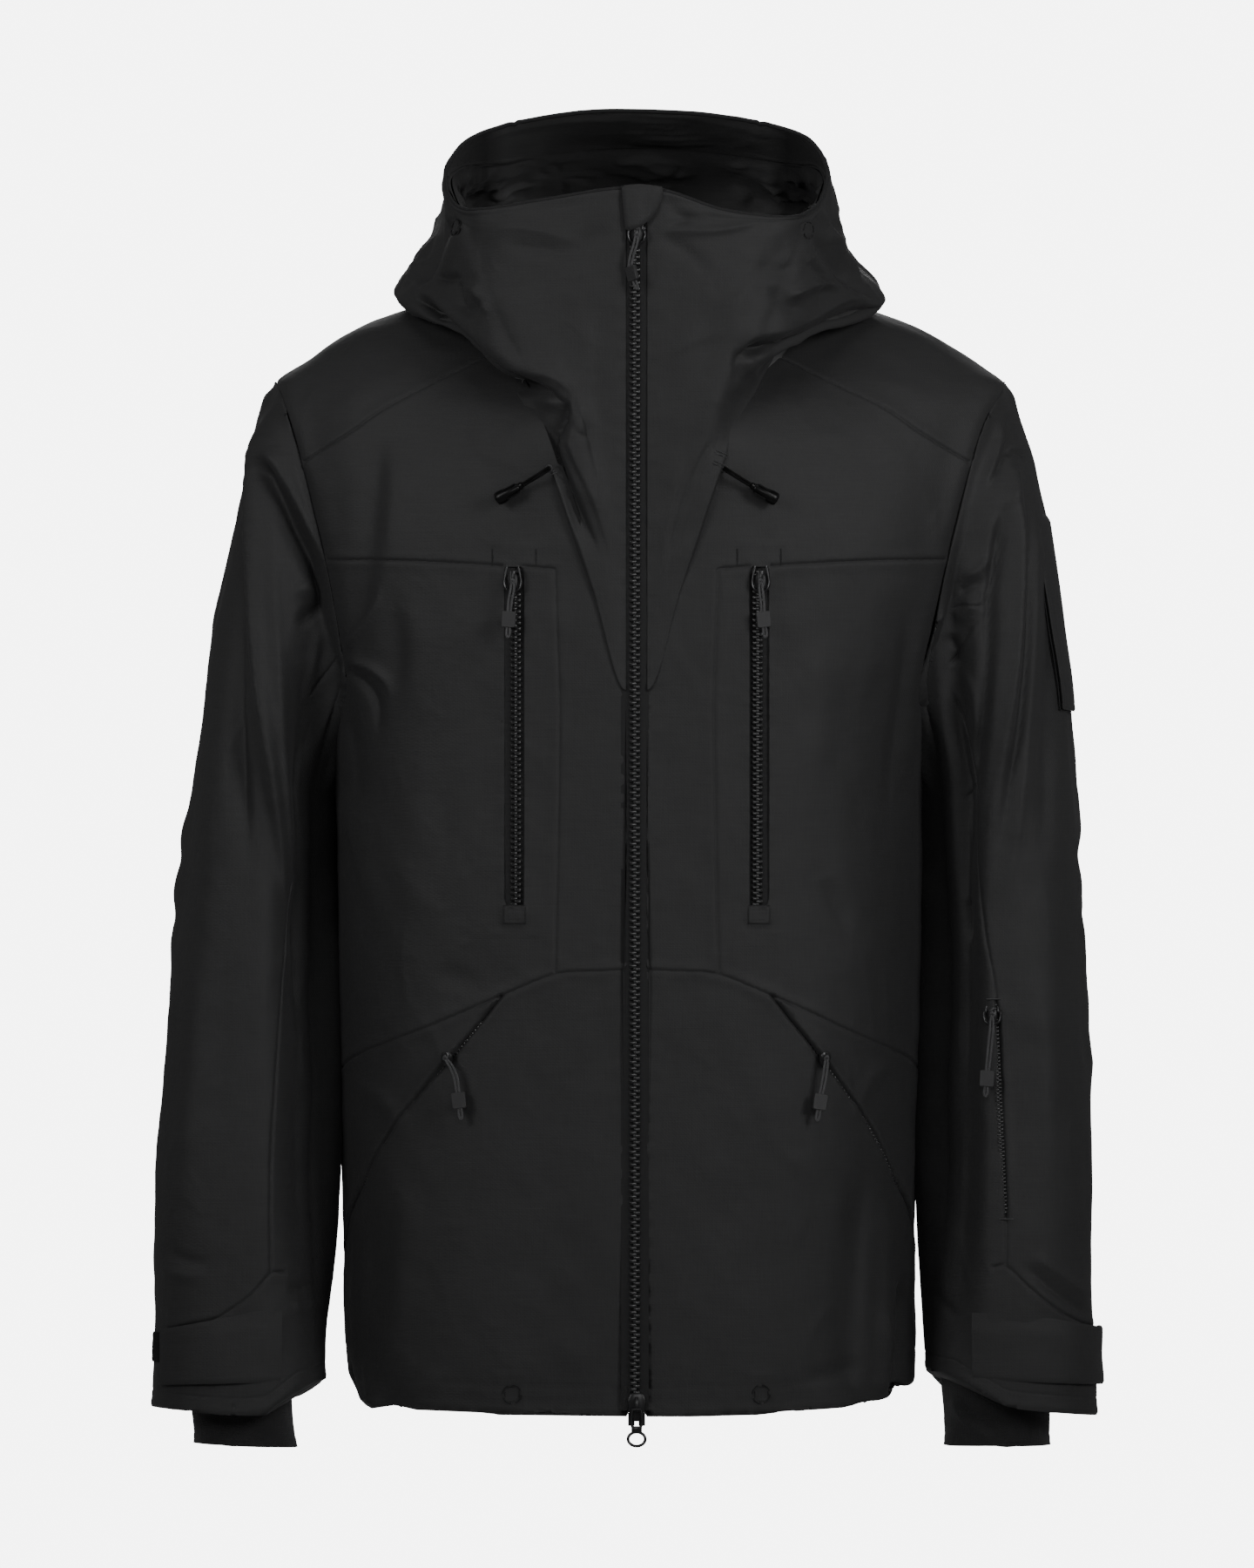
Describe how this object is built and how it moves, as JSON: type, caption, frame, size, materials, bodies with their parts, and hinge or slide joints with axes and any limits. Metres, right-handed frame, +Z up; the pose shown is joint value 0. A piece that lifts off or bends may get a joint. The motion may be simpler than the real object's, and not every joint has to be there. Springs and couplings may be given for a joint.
{
  "type": "ski jacket",
  "caption": "Hooded ski jacket sewn from shell panels, with separate sleeves, tilting hood, adjustable cuffs, sliding zip pulls and inner lining.",
  "frame": {"origin": "centre of the jacket's footprint, at the height of the wrist gaiters' lower ends", "axes": "+Z up towards the hood, -Y the jacket's front, +X the wearer's left"},
  "size_m": [0.6664, 0.3031, 0.9256],
  "materials": {
    "shell_fabric": "matt fine-woven laminated shell cloth",
    "lining_fabric": "smooth matt lining cloth",
    "stretch_knit": "matt stretch knit",
    "zip_plastic": "satin moulded plastic",
    "black_metal": "satin black lacquered metal",
    "cord": "braided cord with moulded rubbery grip"
  },
  "bodies": {
    "torso": {"back_lower_panel": "shell_fabric", "back_upper_panel": "shell_fabric", "body_lining": "lining_fabric", "chin_guard": "shell_fabric", "goggle_pocket": "lining_fabric", "hang_loop": "lining_fabric", "left_chest_panel": "shell_fabric", "left_chest_zip_stringer": "zip_plastic", "left_collar": "shell_fabric", "left_hand_zip_stringer": "zip_plastic", "left_hem_cord_lock": "zip_plastic", "left_hem_panel": "shell_fabric", "left_pocket_gusset": "shell_fabric", "left_shoulder_yoke": "shell_fabric", "left_torso_panel": "shell_fabric", "main_zip_left_stringer": "zip_plastic", "main_zip_right_stringer": "zip_plastic", "right_chest_panel": "shell_fabric", "right_chest_zip_stringer": "zip_plastic", "right_collar": "shell_fabric", "right_hand_zip_stringer": "zip_plastic", "right_hem_cord_lock": "zip_plastic", "right_hem_panel": "shell_fabric", "right_pocket_gusset": "shell_fabric", "right_shoulder_yoke": "shell_fabric", "right_torso_panel": "shell_fabric", "snow_skirt": "lining_fabric"},
    "hood": {"hood_shell": "shell_fabric", "hood_brim": "lining_fabric", "hood_lining": "lining_fabric", "left_hood_cord_lock": "zip_plastic", "right_hood_cord_lock": "zip_plastic"},
    "left_upper_arm": {"left_upper_sleeve": "shell_fabric"},
    "left_forearm": {"left_lower_sleeve": "shell_fabric", "left_wrist_gaiter": "stretch_knit", "left_forearm_zip_stringer": "zip_plastic"},
    "right_upper_arm": {"right_upper_sleeve": "shell_fabric"},
    "right_forearm": {"right_lower_sleeve": "shell_fabric", "right_wrist_gaiter": "stretch_knit"},
    "main_zip_top_slider": {"main_zip_top_slider": "black_metal"},
    "main_zip_top_pull": {"main_zip_top_pull": "cord"},
    "main_zip_bottom_slider": {"main_zip_bottom_slider": "black_metal"},
    "main_zip_bottom_pull": {"main_zip_bottom_pull": "black_metal"},
    "left_arm_flap": {"left_arm_flap": "shell_fabric"},
    "left_forearm_zip_slider": {"left_forearm_zip_slider": "black_metal"},
    "left_forearm_zip_pull": {"left_forearm_zip_pull": "cord"},
    "left_cuff_tab": {"left_cuff_tab": "shell_fabric"},
    "left_chest_zip_slider": {"left_chest_zip_slider": "black_metal"},
    "left_chest_zip_pull": {"left_chest_zip_pull": "cord"},
    "left_hand_zip_slider": {"left_hand_zip_slider": "black_metal"},
    "left_hand_zip_pull": {"left_hand_zip_pull": "cord"},
    "left_hood_cord_toggle": {"left_hood_cord_toggle": "zip_plastic"},
    "right_cuff_tab": {"right_cuff_tab": "shell_fabric"},
    "right_chest_zip_slider": {"right_chest_zip_slider": "black_metal"},
    "right_chest_zip_pull": {"right_chest_zip_pull": "cord"},
    "right_hand_zip_slider": {"right_hand_zip_slider": "black_metal"},
    "right_hand_zip_pull": {"right_hand_zip_pull": "cord"},
    "right_hood_cord_toggle": {"right_hood_cord_toggle": "zip_plastic"}
  },
  "joints": [
    {"name": "hood_tilt", "type": "hinge", "parent": "torso", "child": "hood", "pos_m": [0, 0.09186, 0.778], "axis": [-1, 0, 0], "range_deg": [0, 70]},
    {"name": "left_shoulder", "type": "hinge", "parent": "torso", "child": "left_upper_arm", "pos_m": [0.243, 0.00186, 0.738], "axis": [0, -1, 0], "range_deg": [0, 35]},
    {"name": "left_elbow", "type": "hinge", "parent": "left_upper_arm", "child": "left_forearm", "pos_m": [0.259, -0.04314, 0.392], "axis": [-1, 0, 0], "range_deg": [0, 50]},
    {"name": "left_cuff_tab_peel", "type": "hinge", "parent": "left_forearm", "child": "left_cuff_tab", "pos_m": [0.24548, -0.08391, 0.065], "axis": [0, 0, -1], "range_deg": [0, 50]},
    {"name": "left_chest_zip_slide", "type": "slide", "parent": "torso", "child": "left_chest_zip_slider", "axis": [0, 0.0025, -1], "range_m": [0, 0.21]},
    {"name": "left_chest_zip_pull_swing", "type": "hinge", "parent": "left_chest_zip_slider", "child": "left_chest_zip_pull", "pos_m": [0.084, -0.1452, 0.598], "axis": [-1, 0, 0], "range_deg": [0, 150]},
    {"name": "left_hand_zip_slide", "type": "slide", "parent": "torso", "child": "left_hand_zip_slider", "axis": [0.6044, 0.3152, -0.7317], "range_m": [0, 0.06]},
    {"name": "left_hand_zip_pull_swing", "type": "hinge", "parent": "left_hand_zip_slider", "child": "left_hand_zip_pull", "pos_m": [0.13009, -0.13246, 0.272], "axis": [-0.9135, -0.4067, 0], "range_deg": [0, 150]},
    {"name": "left_hood_cord_swing", "type": "hinge", "parent": "torso", "child": "left_hood_cord_toggle", "pos_m": [0.062, -0.13863, 0.674], "axis": [0, -1, 0], "range_deg": [-25, 25]},
    {"name": "right_shoulder", "type": "hinge", "parent": "torso", "child": "right_upper_arm", "pos_m": [-0.243, 0.00186, 0.738], "axis": [0, 1, 0], "range_deg": [0, 35]},
    {"name": "right_elbow", "type": "hinge", "parent": "right_upper_arm", "child": "right_forearm", "pos_m": [-0.259, -0.04314, 0.392], "axis": [-1, 0, 0], "range_deg": [0, 50]},
    {"name": "right_cuff_tab_peel", "type": "hinge", "parent": "right_forearm", "child": "right_cuff_tab", "pos_m": [-0.24548, -0.08391, 0.065], "axis": [0, 0, 1], "range_deg": [0, 50]},
    {"name": "right_chest_zip_slide", "type": "slide", "parent": "torso", "child": "right_chest_zip_slider", "axis": [0, 0.0025, -1], "range_m": [0, 0.21]},
    {"name": "right_chest_zip_pull_swing", "type": "hinge", "parent": "right_chest_zip_slider", "child": "right_chest_zip_pull", "pos_m": [-0.084, -0.1452, 0.598], "axis": [-1, 0, 0], "range_deg": [0, 150]},
    {"name": "right_hand_zip_slide", "type": "slide", "parent": "torso", "child": "right_hand_zip_slider", "axis": [-0.6044, 0.3152, -0.7317], "range_m": [0, 0.06]},
    {"name": "right_hand_zip_pull_swing", "type": "hinge", "parent": "right_hand_zip_slider", "child": "right_hand_zip_pull", "pos_m": [-0.13009, -0.13246, 0.272], "axis": [-0.9135, 0.4067, 0], "range_deg": [0, 150]},
    {"name": "right_hood_cord_swing", "type": "hinge", "parent": "torso", "child": "right_hood_cord_toggle", "pos_m": [-0.062, -0.13863, 0.674], "axis": [0, -1, 0], "range_deg": [-25, 25]},
    {"name": "main_zip_top_slide", "type": "slide", "parent": "torso", "child": "main_zip_top_slider", "axis": [0, 0, -1], "range_m": [0, 0.45]},
    {"name": "main_zip_top_pull_swing", "type": "hinge", "parent": "main_zip_top_slider", "child": "main_zip_top_pull", "pos_m": [0, -0.14924, 0.836], "axis": [-1, 0, 0], "range_deg": [0, 150]},
    {"name": "main_zip_bottom_slide", "type": "slide", "parent": "torso", "child": "main_zip_bottom_slider", "axis": [0, 0, 1], "range_m": [0, 0.24]},
    {"name": "main_zip_bottom_pull_swing", "type": "hinge", "parent": "main_zip_bottom_slider", "child": "main_zip_bottom_pull", "pos_m": [0, -0.14914, 0.03], "axis": [-1, 0, 0], "range_deg": [0, 150]},
    {"name": "left_forearm_zip_slide", "type": "slide", "parent": "left_forearm", "child": "left_forearm_zip_slider", "axis": [0.0581, -0.0581, -0.9966], "range_m": [0, 0.125]},
    {"name": "left_forearm_zip_pull_swing", "type": "hinge", "parent": "left_forearm_zip_slider", "child": "left_forearm_zip_pull", "pos_m": [0.24417, -0.0828, 0.301], "axis": [-1, 0, 0], "range_deg": [0, 150]},
    {"name": "left_arm_flap_open", "type": "hinge", "parent": "left_upper_arm", "child": "left_arm_flap", "pos_m": [0.29035, 0.04389, 0.58], "axis": [0, 0, 1], "range_deg": [0, 45]}
  ]
}
